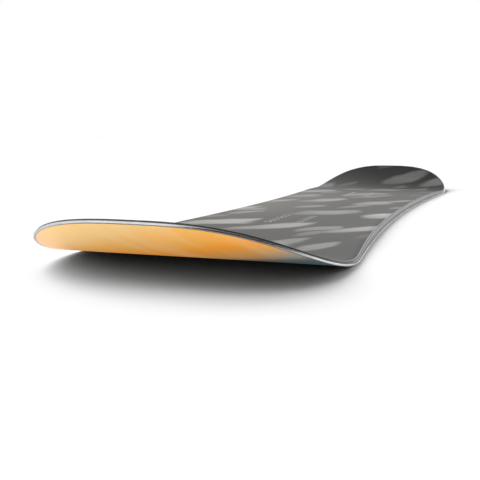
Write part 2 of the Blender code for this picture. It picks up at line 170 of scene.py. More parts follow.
def rocker(x):
    """Height and slope of the running surface at x."""
    nose = max(x - NOSE_KICK_START, 0) / NOSE_KICK_LENGTH
    tail = max(TAIL_KICK_START - x, 0) / TAIL_KICK_LENGTH
    height = NOSE_LIFT * nose**NOSE_KICK_POWER + TAIL_LIFT * tail**TAIL_KICK_POWER
    slope = NOSE_LIFT * NOSE_KICK_POWER / NOSE_KICK_LENGTH * nose ** (NOSE_KICK_POWER - 1)
    slope -= TAIL_LIFT * TAIL_KICK_POWER / TAIL_KICK_LENGTH * tail ** (TAIL_KICK_POWER - 1)
    return height, slope


def bend(x, y, height):
    """Bend a point of the flat plan up with the rocker; height is square to the running surface."""
    rise, slope = rocker(x)
    square = 1 / math.hypot(1, slope)
    return Vector((x - height * slope * square, y, rise + height * square))


print("Rim, tail tip to nose tip:", round(RIM_LENGTH, 4), "m")
print("Half of the greatest width:", round(float(RIM_Y.max()), 4), "m")

# %% [markdown]
# The stack has standard thicknesses: base, steel flange, rubber, core, glass and film. The core is full
# under the bindings and thins out to the tips in an even S-curve, so heights above it are counted from its
# top and not from the floor.

# %% Heights in the stack
BASE_THICKNESS = 0.0011
PLY_THICKNESS = 0.00045
GLUE_GAP = 0.0003
RUBBER_THICKNESS = 0.0003
CORE_THICKNESS = 0.0064
TIP_CORE_THICKNESS = 0.0007
CORE_THIN_LENGTH = 0.095
NOSE_CORE_TAPER = 0.335
TAIL_CORE_TAPER = -0.385
EDGE_STEP = 0.0005
SIDE_SLANT = math.radians(13.5)
SEAM = 0.00004

FLANGE_BOTTOM = BASE_THICKNESS + GLUE_GAP
FLANGE_TOP = FLANGE_BOTTOM + PLY_THICKNESS
CORE_BOTTOM = FLANGE_TOP + GLUE_GAP
GLASS_RISE = GLUE_GAP
FILM_RISE = GLASS_RISE + PLY_THICKNESS + GLUE_GAP
DECK_RISE = FILM_RISE + PLY_THICKNESS


def core_top(x):
    """Top of the core at x."""
    if x > 0:
        progress = (x - NOSE_CORE_TAPER) / (HALF_LENGTH - CORE_THIN_LENGTH - NOSE_CORE_TAPER)
    else:
        progress = (TAIL_CORE_TAPER - x) / (HALF_LENGTH - CORE_THIN_LENGTH + TAIL_CORE_TAPER)
    progress = min(max(progress, 0), 1)
    fade = progress * progress * (3 - 2 * progress)
    return CORE_BOTTOM + CORE_THICKNESS + (TIP_CORE_THICKNESS - CORE_THICKNESS) * fade


def slanted_inset(height):
    """How far in from the outline the slanted side face stands at a height."""
    return EDGE_STEP + height * math.tan(SIDE_SLANT)


DECK_HEIGHT = core_top(0) + DECK_RISE
print("Deck over the floor:", round(DECK_HEIGHT * 1000, 2), "mm; at the tips:",
      round((core_top(HALF_LENGTH) + DECK_RISE) * 1000, 2), "mm")

# %% [markdown]
# Each rail and each sheet is one cross-section that runs along the rim. It could be drawn as a curve with a
# bevel object, but a curve turns its section with the rim and can't keep a sheet level from side to side.
# Extruding a profile face from station to station does both, and the profile's corners are rounded first,
# with one bevel, so that the rounding runs along the whole board.

# %% Pull a profile along the board
TIP_STATION_STEP = 0.0045
FLAT_STATION_STEP = 0.020
ROUNDING_SEGMENTS = 3


def rim_stations(start=0.0, end=RIM_LENGTH):
    """Stations along the rim: close at the tips, where the rim turns and bends up, wide between them."""
    stations = [start]
    while stations[-1] < end:
        x = rim(stations[-1])[0]
        flat = TAIL_KICK_START < x < NOSE_KICK_START
        stations.append(stations[-1] + (FLAT_STATION_STEP if flat else TIP_STATION_STEP))
    if end - stations[-2] < TIP_STATION_STEP / 3:
        stations.pop()
    stations[-1] = end
    return stations


def profile_face(corners, rounding):
    """A bmesh that holds one flat profile; rounding gives a radius for each corner that has one."""
    bm = bmesh.new()
    points = [bm.verts.new((across, up, 0)) for across, up in corners]
    bm.faces.new(points)
    for number, radius in rounding.items():
        bmesh.ops.bevel(bm, geom=[points[number]], offset=radius, offset_type="OFFSET",
                        segments=ROUNDING_SEGMENTS, profile=0.5, affect="VERTICES", material=-1)
    return bm


def sweep(corners, rounding, stations, place):
    """Pull a rounded profile through the stations; place says where a profile point lies at a station."""
    bm = profile_face(corners, rounding)
    bm.faces.ensure_lookup_table()
    face = bm.faces[0]
    spots = [vertex.co.xy.copy() for vertex in face.verts]
    along, across, up = [bm.verts.layers.float.new(name) for name in ("along", "across", "up")]
    for number, s in enumerate(stations):
        if number:
            pulled = bmesh.ops.extrude_face_region(bm, geom=[face, *face.edges, *face.verts])
            face = next(part for part in pulled["geom"] if isinstance(part, bmesh.types.BMFace))
        for vertex, spot in zip(face.verts, spots):
            vertex.co = place(s, spot.x, spot.y)
            vertex[along], vertex[across], vertex[up] = s, spot.x, spot.y
    return bm


print("Stations along one rim:", len(rim_stations()))

# %% [markdown]
# A finished mesh becomes an object that rides on the frame's one body. It names the solids of the frame
# that it stands for, which are hidden, and its object stays at the origin, so that a pattern on Object
# coordinates sits still on it.

# %% Finish a piece
SHARP_ANGLE = math.radians(40)
MERGE_DISTANCE = 1e-6


def mesh_object(name, bm):
    """A bmesh as an object in the scene."""
    mesh = bpy.data.meshes.new(name)
    bm.to_mesh(mesh)
    bm.free()
    return in_scene(name, mesh)


def finish_piece(bm, name, replaced):
    """Close up doubled points, point the faces outwards and put the piece in the scene."""
    bmesh.ops.remove_doubles(bm, verts=bm.verts, dist=MERGE_DISTANCE)
    bmesh.ops.dissolve_degenerate(bm, edges=bm.edges, dist=MERGE_DISTANCE / 10)
    bmesh.ops.recalc_face_normals(bm, faces=bm.faces)
    open_edges = sum(1 for edge in bm.edges if not edge.is_manifold)
    print(f"{name}: {len(bm.faces)} faces, {open_edges} open edges")
    piece = mesh_object(name, bm)
    piece.data.shade_smooth()
    piece.data.set_sharp_from_angle(angle=SHARP_ANGLE)
    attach(piece, "root")
    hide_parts(*replaced)
    return piece


print("Edges stay sharp over", round(math.degrees(SHARP_ANGLE)), "degrees")

# %% [markdown]
# The steel edge is rolled as one long bar with an L-shaped section: the bar that bites the snow, and a thin
# flange that the laminate grips. It is bent round the tips on a jig. Its corners are only broken, not
# rounded, because the outer one is the cutting edge.

# %% Steel edges
EDGE_BAR_WIDTH = 0.0020
EDGE_FLANGE_REACH = 0.0045
CUTTING_CORNER = 0.00012
BROKEN_CORNER = 0.00020


def on_rim(s, inset, height):
    """A point that keeps its distance from the outline and its height in the stack."""
    return bend(*rim(s, inset), height)


def rail_pair(name, node, profile, rounding, stations, place):
    """A rail along the left rim, and its mirror image along the right one."""
    pair = []
    for side, sign in (("left", 1), ("right", -1)):
        bm = sweep(profile, rounding, stations, place)
        bmesh.ops.scale(bm, vec=(1, sign, 1), verts=bm.verts)
        pair.append(finish_piece(bm, f"{name}_{side}", [f"{node}_{side}"]))
    return pair


EDGE_INNER = EDGE_BAR_WIDTH + EDGE_FLANGE_REACH
edge_profile = [(0, 0), (0, FLANGE_TOP), (EDGE_INNER, FLANGE_TOP), (EDGE_INNER, FLANGE_BOTTOM),
                (EDGE_BAR_WIDTH, FLANGE_BOTTOM), (EDGE_BAR_WIDTH, 0)]
edge_rounding = {0: CUTTING_CORNER, 1: BROKEN_CORNER, 5: CUTTING_CORNER}
edge_stations = rim_stations(SEAM / 2, RIM_LENGTH - SEAM / 2)
steel_edges = rail_pair("edge", "steel_edge", edge_profile, edge_rounding, edge_stations,
                        on_rim)

# %% [markdown]
# A sheet is as wide as the board, so half of it is pulled along the rim and the other half is mirrored.
# The half profile has its rim corner, a line a few millimetres in that the finish follows, and its edge on
# the centreline. Where both halves meet, the faces between them are deleted before the mirror welds them.

# %% Sheets that fill the outline
CENTRELINE = 0.10
RIM_LINE = 0.006
CENTRE_TOLERANCE = 1e-7


def both_halves(bm):
    """Take away the faces on the centreline and weld the mirror image on."""
    middle = [face for face in bm.faces if all(abs(vertex.co.y) < CENTRE_TOLERANCE for vertex in face.verts)]
    bmesh.ops.delete(bm, geom=middle, context="FACES")
    bmesh.ops.mirror(bm, geom=[*bm.verts, *bm.edges, *bm.faces], axis="Y", merge_dist=MERGE_DISTANCE)
    return bm


def sheet(bottom, top, outer_inset, corner):
    """A ply between two height functions of x; corner is its rim bevel: width, and where up the rim."""
    def lie(s, inset, share):
        x_rim = rim(s)[0]
        height = bottom(x_rim) + (top(x_rim) - bottom(x_rim)) * share
        outer = outer_inset(height)
        x, y = rim(s, outer + min(inset, RIM_LINE))
        if inset >= CENTRELINE:
            y = 0.0
        height = bottom(x) + (top(x) - bottom(x)) * share
        return bend(x, y, height)

    profile = [(0, 0), (0, corner[1]), (corner[0], 1), (RIM_LINE, 1), (CENTRELINE, 1),
               (CENTRELINE, 0), (RIM_LINE, 0)]
    return both_halves(sweep(profile, {}, rim_stations(), lie))


def level(height):
    """The same height all along the board."""
    return lambda x: height


def over_core(rise):
    """A height counted from the top of the core."""
    return lambda x: core_top(x) + rise


BASE_INSET = EDGE_BAR_WIDTH + GLUE_GAP
BASE_CORNER = (0.0002, 0.9)
base_mesh = sheet(level(0), level(FLANGE_BOTTOM - SEAM), level(BASE_INSET), BASE_CORNER)
base = finish_piece(base_mesh, "base", ["base_sheet"])

# %% [markdown]
# Sidewalls are strips of tough plastic that are milled to a slant after pressing. They are as deep as the
# core, so their upper face follows its taper. A rubber strip beds each one on the steel flange, and shows
# as a dark line between steel and plastic.

# %% Sidewalls and rubber strips
SIDEWALL_WIDTH = 0.0090
RUBBER_WIDTH = 0.0079
RUBBER_SETBACK = 0.0008
RUBBER_BOTTOM = FLANGE_TOP + SEAM
RUBBER_TOP = RUBBER_BOTTOM + RUBBER_THICKNESS
SIDEWALL_FOOT = RUBBER_TOP + SEAM
SIDEWALL_TOP_RISE = GLASS_RISE - SEAM
CORE_INSET = SIDEWALL_WIDTH + GLUE_GAP
SPACER_LENGTH = 0.105
SPACER_BOW = 0.085
CORE_CORNER = HALF_LENGTH - SPACER_LENGTH - SPACER_BOW


def rim_distance(x, inset=0.0):
    """Distance along the rim where the inset outline passes x."""
    return float(np.interp(x, RIM_X - inset * NORMAL_X, ALONG))


def in_sidewall(s, inward, share):
    """A point of the sidewall: a share of its depth in from the slanted face, a share of its height up."""
    top = core_top(rim(s)[0]) + SIDEWALL_TOP_RISE
    height = SIDEWALL_FOOT + (top - SIDEWALL_FOOT) * share
    outer = slanted_inset(height)
    x, y = rim(s, outer + (SIDEWALL_WIDTH - outer) * inward)
    top = core_top(x) + SIDEWALL_TOP_RISE
    return bend(x, y, SIDEWALL_FOOT + (top - SIDEWALL_FOOT) * share)


wall_profile = [(0, 0), (0, 1), (1, 1), (1, 0)]
wall_rounding = {0: 0.04, 1: 0.03}
RUBBER_INNER = RUBBER_SETBACK + RUBBER_WIDTH
rubber_profile = [(RUBBER_SETBACK, RUBBER_BOTTOM), (RUBBER_SETBACK, RUBBER_TOP), (RUBBER_INNER, RUBBER_TOP),
                  (RUBBER_INNER, RUBBER_BOTTOM)]
side_stations = rim_stations(rim_distance(-CORE_CORNER, CORE_INSET), rim_distance(CORE_CORNER, CORE_INSET))
side_walls = rail_pair("wall", "sidewall", wall_profile, wall_rounding, side_stations,
                       in_sidewall)
rubber_strips = rail_pair("rubber", "rubber_strip", rubber_profile, {}, side_stations, on_rim)

# %% [markdown]
# Past the core, a crescent of plastic fills each tip. It starts at the core's bowed end, which is sawn
# straight from glue joint to glue joint, and runs out to the rim. It is pulled round half the tip, from the
# sidewall to the tip itself, and mirrored.

# %% Tip spacers
INSERT_COLUMN = 0.020
CORE_STRIP_WIDTH = 0.024
CORE_JOINTS = 5
LEAST_STRIP_WIDTH = 0.008
SPACER_COLUMNS = 12


def core_joints():
    """Distances of the core's glue joints from the centreline, with its outer corner last."""
    corner = float(np.interp(CORE_CORNER, RIM_X - CORE_INSET * NORMAL_X, RIM_Y - CORE_INSET * NORMAL_Y))
    first = INSERT_COLUMN - CORE_STRIP_WIDTH / 2
    joints = [first + CORE_STRIP_WIDTH * number for number in range(CORE_JOINTS)]
    furthest = WAIST_WIDTH / 2 - CORE_INSET - LEAST_STRIP_WIDTH
    return [joint for joint in joints if joint < furthest] + [corner]


def spacer(end):
    """The crescent at one end of the board."""
    outward = 1 if end == "nose" else -1
    line = core_joints()
    reach = [CORE_CORNER + SPACER_BOW * (1 - (y / line[-1]) ** 2) for y in line]
    corner_s = rim_distance(outward * CORE_CORNER, CORE_INSET)
    tip_s = RIM_LENGTH if end == "nose" else 0.0

    def lie(s, inward, share):
        part = (s - tip_s) / (corner_s - tip_s)
        y_inner = line[-1] * part
        x_inner = outward * (float(np.interp(y_inner, line, reach)) + GLUE_GAP)
        top = core_top(rim(s)[0]) + SIDEWALL_TOP_RISE
        height = CORE_BOTTOM + (top - CORE_BOTTOM) * share
        x_outer, y_outer = rim(s, slanted_inset(height))
        x = x_outer + (x_inner - x_outer) * inward
        y = y_outer + (y_inner - y_outer) * inward
        top = core_top(x) + SIDEWALL_TOP_RISE
        return bend(x, y, RUBBER_BOTTOM + (top - RUBBER_BOTTOM) * share)

    shares = [number / SPACER_COLUMNS for number in range(SPACER_COLUMNS + 1)]
    profile = [(share, 0) for share in reversed(shares)] + [(share, 1) for share in shares]
    start = corner_s + outward * SEAM
    stations = rim_stations(min(start, tip_s), max(start, tip_s))
    half = sweep(profile, {}, stations, lie)
    return finish_piece(both_halves(half), f"spacer_{end}", [f"{end}_spacer"])


spacers = [spacer(end) for end in ("nose", "tail")]

# %% [markdown]
# The upper glass ply and the deck film lie over the core. Both are drilled over each insert. The holes
# could be made by cutting faces one by one; one Boolean with a set of cylinders is quicker to read and
# leaves the flat faces flat.

# %% Glass ply and deck film, drilled over the inserts
STANCE_WIDTH = 0.560
STANCE_SETBACK = 0.025
INSERT_ROWS = 6
ROW_SPACING = 0.020
MOUNT_HOLE_RADIUS = 0.0035
HOLE_SIDES = 40
DRILL_DEPTH = 0.004
GLASS_CORNER = (0.0, 0.5)
FILM_CORNER = (0.0008, 0.25)
UNBEND_ROUNDS = 4
PACKS = {"front": STANCE_WIDTH / 2 - STANCE_SETBACK, "rear": -STANCE_WIDTH / 2 - STANCE_SETBACK}
PACK_HALF = ROW_SPACING * (INSERT_ROWS - 1) / 2


def insert_places():
    """Where the inserts stand, by the names of the frame's nodes."""
    places = {}
    for pack, centre in PACKS.items():
        for number in range(INSERT_ROWS * 2):
            row, column = divmod(number, 2)
            x = centre - PACK_HALF + row * ROW_SPACING
            places[f"insert_{pack}_{number + 1:02d}"] = Vector((x, (2 * column - 1) * INSERT_COLUMN, 0))
    return places


def drill():
    """One object with a cylinder over each insert."""
    bm = bmesh.new()
    for place in insert_places().values():
        middle = Matrix.Translation(place + Vector((0, 0, DECK_HEIGHT)))
        bmesh.ops.create_cone(bm, cap_ends=True, segments=HOLE_SIDES, radius1=MOUNT_HOLE_RADIUS,
                              radius2=MOUNT_HOLE_RADIUS, depth=DRILL_DEPTH, matrix=middle)
    return mesh_object("drill", bm)


def drilled(bm):
    """The same mesh with the holes cut, as a new bmesh."""
    bmesh.ops.recalc_face_normals(bm, faces=bm.faces)
    blank = mesh_object("blank", bm)
    cutter = drill()
    holes = blank.modifiers.new("holes", "BOOLEAN")
    holes.operation = "DIFFERENCE"
    holes.solver = "EXACT"
    holes.object = cutter
    evaluated = blank.evaluated_get(bpy.context.evaluated_depsgraph_get())
    result = bmesh.new()
    result.from_mesh(evaluated.to_mesh())
    evaluated.to_mesh_clear()
    bpy.data.objects.remove(cutter)
    bpy.data.objects.remove(blank)
    return result


def unbend(point):
    """The plan point and the height in the stack from which bend made a point."""
    x = point.x
    for _ in range(UNBEND_ROUNDS):
        rise, slope = rocker(x)
        height = (point.z - rise) * math.hypot(1, slope)
        x = point.x + height * slope / math.hypot(1, slope)
    return x, point.y, height


def mark_depth(piece):
    """Write how far each point lies in from the board's milled side face, which the rim's finish follows."""
    depths = []
    for vertex in piece.data.vertices:
        x, y, height = unbend(vertex.co)
        to_rim_x, to_rim_y = RIM_X - x, RIM_Y - abs(y)
        nearest = int(np.hypot(to_rim_x, to_rim_y).argmin())
        from_outline = to_rim_x[nearest] * NORMAL_X[nearest] + to_rim_y[nearest] * NORMAL_Y[nearest]
        depths.append(float(from_outline) - slanted_inset(height))
    piece.data.attributes.new("depth", "FLOAT", "POINT").data.foreach_set("value", depths)


glass_mesh = sheet(over_core(GLASS_RISE), over_core(FILM_RISE - SEAM), slanted_inset, GLASS_CORNER)
upper_glass = finish_piece(drilled(glass_mesh), "glass_ply", ["upper_glass"])
film_mesh = sheet(over_core(FILM_RISE), over_core(DECK_RISE), slanted_inset, FILM_CORNER)
film = finish_piece(drilled(film_mesh), "deck_film", ["topsheet"])
for sheet_piece in (upper_glass, film):
    mark_depth(sheet_piece)
print("Holes in the film:", len(insert_places()))

# %% [markdown]
# An insert is a small turned nut with a wide flange at its foot and a blind M6 thread. A turned part is
# spun from its half profile. The thread is spun as well, with a step along the axis for each step round, so
# it climbs as a true helix.

# %% Binding inserts
FLANGE_RADIUS = 0.0080
INSERT_FLANGE_THICKNESS = 0.0010
BARREL_RADIUS = 0.0043
THREAD_RADIUS = 0.0030
THREAD_CREST = 0.0025
THREAD_PITCH = 0.0010
TOOTH_FOOT = 0.45 * THREAD_PITCH
TOOTH_TIP = 0.06 * THREAD_PITCH
BORE_FLOOR = 0.0013
CHAMFER = 0.0003
TURN_STEPS = 32
INSERT_TOP = CORE_BOTTOM + CORE_THICKNESS


def spun(bm, points, turns, steps, rise):
    """Spin a chain of radius and height pairs about Z; without a rise, the ends meet."""
    chain = [bm.verts.new((radius, 0, height)) for radius, height in points]
    edges = [bm.edges.new(pair) for pair in zip(chain, chain[1:])]
    bmesh.ops.spin(bm, geom=chain + edges, cent=(0, 0, 0), axis=(0, 0, 1), angle=2 * math.pi * turns,
                   steps=steps, dvec=(0, 0, rise), use_merge=rise == 0)
    return chain


def make_insert(name, place):
    """One nut with its thread."""
    bm = bmesh.new()
    shoulder = CORE_BOTTOM + INSERT_FLANGE_THICKNESS
    floor = CORE_BOTTOM + BORE_FLOOR
    body = [(0, CORE_BOTTOM), (FLANGE_RADIUS - CHAMFER, CORE_BOTTOM), (FLANGE_RADIUS, CORE_BOTTOM + CHAMFER),
            (FLANGE_RADIUS, shoulder - CHAMFER), (FLANGE_RADIUS - CHAMFER, shoulder),
            (BARREL_RADIUS, shoulder), (BARREL_RADIUS, INSERT_TOP - CHAMFER),
            (BARREL_RADIUS - CHAMFER, INSERT_TOP), (THREAD_RADIUS + CHAMFER, INSERT_TOP),
            (THREAD_RADIUS, INSERT_TOP - CHAMFER), (THREAD_RADIUS, floor), (0, floor)]
    spun(bm, body, 1, TURN_STEPS, 0)
    turns = int((INSERT_TOP - CHAMFER - floor) / THREAD_PITCH) - 1
    start = floor + THREAD_PITCH / 2
    tooth = [(THREAD_RADIUS + SEAM, start - TOOTH_FOOT), (THREAD_CREST, start - TOOTH_TIP),
             (THREAD_CREST, start + TOOTH_TIP), (THREAD_RADIUS + SEAM, start + TOOTH_FOOT)]
    chain = spun(bm, [*tooth, tooth[0]], turns, TURN_STEPS * turns, THREAD_PITCH / TURN_STEPS)
    bmesh.ops.remove_doubles(bm, verts=bm.verts, dist=MERGE_DISTANCE)
    bmesh.ops.holes_fill(bm, edges=[edge for edge in bm.edges if edge.is_boundary], sides=len(chain))
    bmesh.ops.translate(bm, verts=bm.verts, vec=place)
    return finish_piece(bm, name.replace("insert", "nut"), [name])


nuts = [make_insert(name, place) for name, place in insert_places().items()]

# %% [markdown]
# Every finish is a small node tree. These helpers add a node, set its values and link its inputs in one
# line each, so that a material reads as a recipe: it builds its nodes and ends with what the shader gets.

# %% Helpers for materials
def set_inputs(tree, node, inputs):
    """Set each input of a node to its value, or link it to its socket."""
    for name, value in inputs.items():
        if isinstance(value, bpy.types.NodeSocket):
            tree.links.new(value, node.inputs[name])
        else:
            node.inputs[name].default_value = value


def new_material(name, recipe, *settings):
    """A material with one Principled shader; the recipe gives the shader's inputs."""
    material = bpy.data.materials.new(name)
    material.use_nodes = True
    tree = material.node_tree
    set_inputs(tree, tree.nodes["Principled BSDF"], recipe(tree, *settings))
    return material


def add(tree, kind, inputs=None, **settings):
    """Add a node with its settings and inputs."""
    made = tree.nodes.new("ShaderNode" + kind)
    for name, value in settings.items():
        setattr(made, name, value)
    set_inputs(tree, made, inputs or {})
    return made


def object_place(tree):
    """Where a point lies on the piece."""
    return add(tree, "TexCoord").outputs["Object"]


def split(tree, vector):
    """The three numbers of a vector."""
    return add(tree, "SeparateXYZ", {0: vector}).outputs


def written(tree, name):
    """A number that the modelling wrote on each point."""
    return add(tree, "Attribute", attribute_name=name).outputs["Fac"]


def maths(tree, operation, first, second=0.0, third=0.0):
    """One step of arithmetic."""
    return add(tree, "Math", {0: first, 1: second, 2: third}, operation=operation).outputs[0]


def ramp(tree, factor, stops):
    """A colour ramp from pairs of position and linear colour."""
    made = add(tree, "ValToRGB", {0: factor})
    elements = made.color_ramp.elements
    while len(elements) < len(stops):
        elements.new(1.0)
    for element, (position, colour) in zip(elements, stops):
        element.position = position
        element.color = (*colour, 1.0) if isinstance(colour, tuple) else (colour, colour, colour, 1.0)
    return made.outputs[0]


def mix(tree, factor, first, second, blend="MIX"):
    """Blend two colours, each a socket or three numbers."""
    first, second = ((*colour, 1.0) if isinstance(colour, tuple) else colour for colour in (first, second))
    inputs = {0: factor, 6: first, 7: second}
    return add(tree, "Mix", inputs, data_type="RGBA", blend_type=blend).outputs[2]


def stretched(tree, scale, turn=0.0):
    """Object coordinates, turned about Z and scaled, so that a pattern runs long one way."""
    place = object_place(tree)
    if turn:
        place = add(tree, "Mapping", {"Vector": place, "Rotation": (0, 0, turn)}).outputs[0]
    return add(tree, "Mapping", {"Vector": place, "Scale": scale}).outputs[0]


def noise(tree, vector, scale, detail=2.0, roughness=0.5):
    """Noise between 0 and 1."""
    inputs = {"Vector": vector, "Scale": scale, "Detail": detail, "Roughness": roughness}
    return add(tree, "TexNoise", inputs).outputs[0]


def remap(tree, value, low, high, to_low=0.0, to_high=1.0):
    """Map one range to another and clamp it."""
    inputs = {0: value, 1: low, 2: high, 3: to_low, 4: to_high}
    return add(tree, "MapRange", inputs, clamp=True).outputs[0]


def bump(tree, height, strength, distance):
    """A bump from a height, in metres."""
    return add(tree, "Bump", {"Height": height, "Strength": strength, "Distance": distance}).outputs[0]


def dress(pieces, material):
    """Give pieces a material, in place of any that they have."""
    for piece in pieces:
        piece.data.materials.clear()
        piece.data.materials.append(material)
    print(f"{material.name}: {len(material.node_tree.nodes)} nodes, on {len(pieces)} pieces")


slot_of = {part["node"]: part["material_slot"] for part in frame["record"]["subparts"]}
print("Finishes to make:", sorted(set(slot_of.values())))

# %% [markdown]
# The deck film carries soft light strokes about as long as a hand, which run slantwise along the board.
# Each stroke could be drawn by hand. A Voronoi texture stretched along the strokes puts one in each of its
# cells, with its own size and shade, and noise frays it like a dry brush. Lengths across a stroke are
# shares of its cell.

# %% Strokes of the print
STROKE_TURN = math.radians(25)
STROKE_LENGTH = 0.200
STROKE_WIDTH = 0.110
STROKE_SCATTER = 0.80
STROKE_SWAY = 0.7
STROKE_REACH = (0.34, 0.56)
STROKE_FATNESS = (0.24, 0.40)
STROKE_LEAN = 0.08
STROKE_FRAY = 0.10
STROKE_SOFT_RIM = 0.13
STROKE_END_FADE = 0.35


def strokes(tree, size, turn, offset, fill):
    """Soft tapered strokes: 1 on a stroke and 0 between strokes, with a random shade for each."""
    place = object_place(tree)
    warp = noise(tree, place, 7.0, 2.0)
    moved = add(tree, "VectorMath", {0: place, 1: (*offset, 0)}, operation="ADD").outputs[0]
    turned = add(tree, "Mapping", {"Vector": moved, "Rotation": (0, 0, turn)}).outputs[0]
    x, y, _ = split(tree, turned)
    u = maths(tree, "DIVIDE", x, size[0])
    sway = maths(tree, "MULTIPLY", maths(tree, "SUBTRACT", warp, 0.5), STROKE_SWAY)
    v = maths(tree, "ADD", maths(tree, "DIVIDE", y, size[1]), sway)
    flat = add(tree, "CombineXYZ", {0: u, 1: v}).outputs[0]
    inputs = {"Vector": flat, "Scale": 1.0, "Randomness": STROKE_SCATTER}
    cell = add(tree, "TexVoronoi", inputs, voronoi_dimensions="2D")
    border = add(tree, "TexVoronoi", inputs, voronoi_dimensions="2D", feature="DISTANCE_TO_EDGE").outputs[0]
    local = add(tree, "VectorMath", {0: flat, 1: cell.outputs["Position"]}, operation="SUBTRACT").outputs[0]
    ahead, aside, _ = split(tree, local)
    chances = split(tree, cell.outputs["Color"])
    half = remap(tree, chances[0], 0.0, 1.0, *STROKE_REACH)
    reach = maths(tree, "DIVIDE", ahead, half)
    taper = maths(tree, "SUBTRACT", 1.0, maths(tree, "MULTIPLY", reach, reach))
    lean = maths(tree, "MULTIPLY_ADD", reach, STROKE_LEAN, aside)
    fat = remap(tree, chances[1], 0.0, 1.0, *STROKE_FATNESS)
    inside = maths(tree, "SUBTRACT", maths(tree, "MULTIPLY", taper, fat), maths(tree, "ABSOLUTE", lean))
    hair = noise(tree, stretched(tree, (11, 120, 1), turn), 1.0, 3.0)
    frayed = maths(tree, "MULTIPLY_ADD", maths(tree, "SUBTRACT", hair, 0.5), STROKE_FRAY, inside)
    mask = maths(tree, "MULTIPLY", remap(tree, frayed, 0.0, STROKE_SOFT_RIM), remap(tree, border, 0.0, 0.10))
    fade = remap(tree, reach, 0.0, 1.0, 1.0, STROKE_END_FADE)
    shade = maths(tree, "POWER", remap(tree, chances[2], 1.0 - fill, 1.0), 0.3)
    return maths(tree, "MULTIPLY", maths(tree, "MULTIPLY", mask, fade), shade)


print("A stroke's cell:", STROKE_LENGTH, "by", STROKE_WIDTH, "m")

# %% [markdown]
# At each insert the film has a screw hole with a pale ring round it: a painted highlight, for the light
# that a countersunk rim round the hole would catch. The rings come from arithmetic on the hole pattern: the
# distance to the nearest hole of the row, and nothing beyond the pack's ends.

# %% Rings round the screw holes
RING_RADIUS = 0.0056
RING_BLUR = 0.0003


def insert_rings(tree, place):
    """1 on the rings round the screw holes of both packs."""
    x, y, _ = split(tree, place)
    rings = None
    across = maths(tree, "SUBTRACT", maths(tree, "ABSOLUTE", y), INSERT_COLUMN)
    for centre in PACKS.values():
        from_first = maths(tree, "ADD", x, PACK_HALF - centre)
        row = maths(tree, "ROUND", maths(tree, "DIVIDE", from_first, ROW_SPACING))
        row = maths(tree, "MINIMUM", maths(tree, "MAXIMUM", row, 0.0), INSERT_ROWS - 1.0)
        ahead = maths(tree, "MULTIPLY_ADD", row, -ROW_SPACING, from_first)
        flat = add(tree, "CombineXYZ", {0: ahead, 1: across}).outputs[0]
        away = add(tree, "VectorMath", {0: flat}, operation="LENGTH").outputs["Value"]
        ring = remap(tree, away, RING_RADIUS - RING_BLUR, RING_RADIUS, 1.0, 0.0)
        rings = ring if rings is None else maths(tree, "MAXIMUM", rings, ring)
    return rings


print("Ring radius:", RING_RADIUS, "m, hole radius:", MOUNT_HOLE_RADIUS, "m")

# %% [markdown]
# The film itself is a charcoal satin. Its tail is dark, partly print and partly painted shade, and the dark
# ends on a slant. One side of the middle of the board carries a painted sheen. At the rim come a soft shade,
# a thin painted highlight on the bevel, and the cut edge of the film. Ramps over Object coordinates hold all
# this and stay sharp at any size. Seen along the board, the satin picks up the white studio and looks
# lighter than it is.

# %% Deck film
GROUND_SLANT = 0.8
# Both ramps darken the tail: partly print, partly painted shade.
GROUND_AND_TAIL_SHADE_GREYS = [(0.0, 0.026), (0.05, 0.031), (0.085, 0.044), (0.13, 0.066), (0.18, 0.100), (0.24, 0.120),
                (0.45, 0.130), (0.80, 0.117), (1.0, 0.114)]
STROKE_AND_TAIL_SHADE_GREYS = [(0.0, 0.13), (0.10, 0.17), (0.20, 0.27), (0.35, 0.42), (0.6, 0.46), (1.0, 0.36)]
# A painted sheen: one side of the waist is made paler.
PAINTED_SHEEN_GREY = (0.38, 0.37, 0.34)
SHEEN_MIDDLE = -0.05
SHEEN_REACH = (0.15, 0.40)
SHEEN_SIDE = (-0.11, 0.03)
SHEEN_SHARE = 0.26
BROAD_SHIFT, BROAD_FILL = (1.13, 0.66), 0.90
SMALL_SHIFT, SMALL_FILL = (0.43, 0.16), 0.45
SMALL_SIZE = (STROKE_LENGTH * 0.62, STROKE_WIDTH * 0.5)
SMALL_TURN = STROKE_TURN * 0.8
SMALL_SHADE = 0.6
COOL_TINT, WARM_TINT = (0.94, 0.95, 0.96), (1.09, 1.05, 0.99)
# The pale rings are a painted highlight round each hole.
RING_HIGHLIGHT_GREY = (0.42, 0.42, 0.41)
RIM_SHADE_DEPTH = (0.002, 0.010)
RIM_SHADE_SHARE, RIM_SHADE_GREY = 0.20, (0.02, 0.02, 0.02)
# The pale line on the rim bevel is a painted highlight.
RIM_HIGHLIGHT_DEPTH, RIM_HIGHLIGHT_GREY = (0.0010, 0.0014), (0.45, 0.45, 0.43)
SIDE_FACE_DEPTH, SIDE_FACE_GREY = (0.00002, 0.00008), (0.12, 0.12, 0.11)


def film_ground_and_sheen(tree, x, y):
    """The ground colour: dark at the tail, partly print and partly painted shade, with a painted sheen on
    one side of the waist.
    """
    slant = maths(tree, "MULTIPLY_ADD", y, -GROUND_SLANT, x)
    ground = ramp(tree, remap(tree, slant, -HALF_LENGTH, HALF_LENGTH), GROUND_AND_TAIL_SHADE_GREYS)
    # Painted sheen on one side of the waist.
    from_middle = maths(tree, "ABSOLUTE", maths(tree, "SUBTRACT", x, SHEEN_MIDDLE))
    waist = remap(tree, from_middle, *SHEEN_REACH, 1.0, 0.0)
    one_side = remap(tree, y, *SHEEN_SIDE, SHEEN_SHARE, 0.0)
    return mix(tree, maths(tree, "MULTIPLY", waist, one_side), ground, PAINTED_SHEEN_GREY)


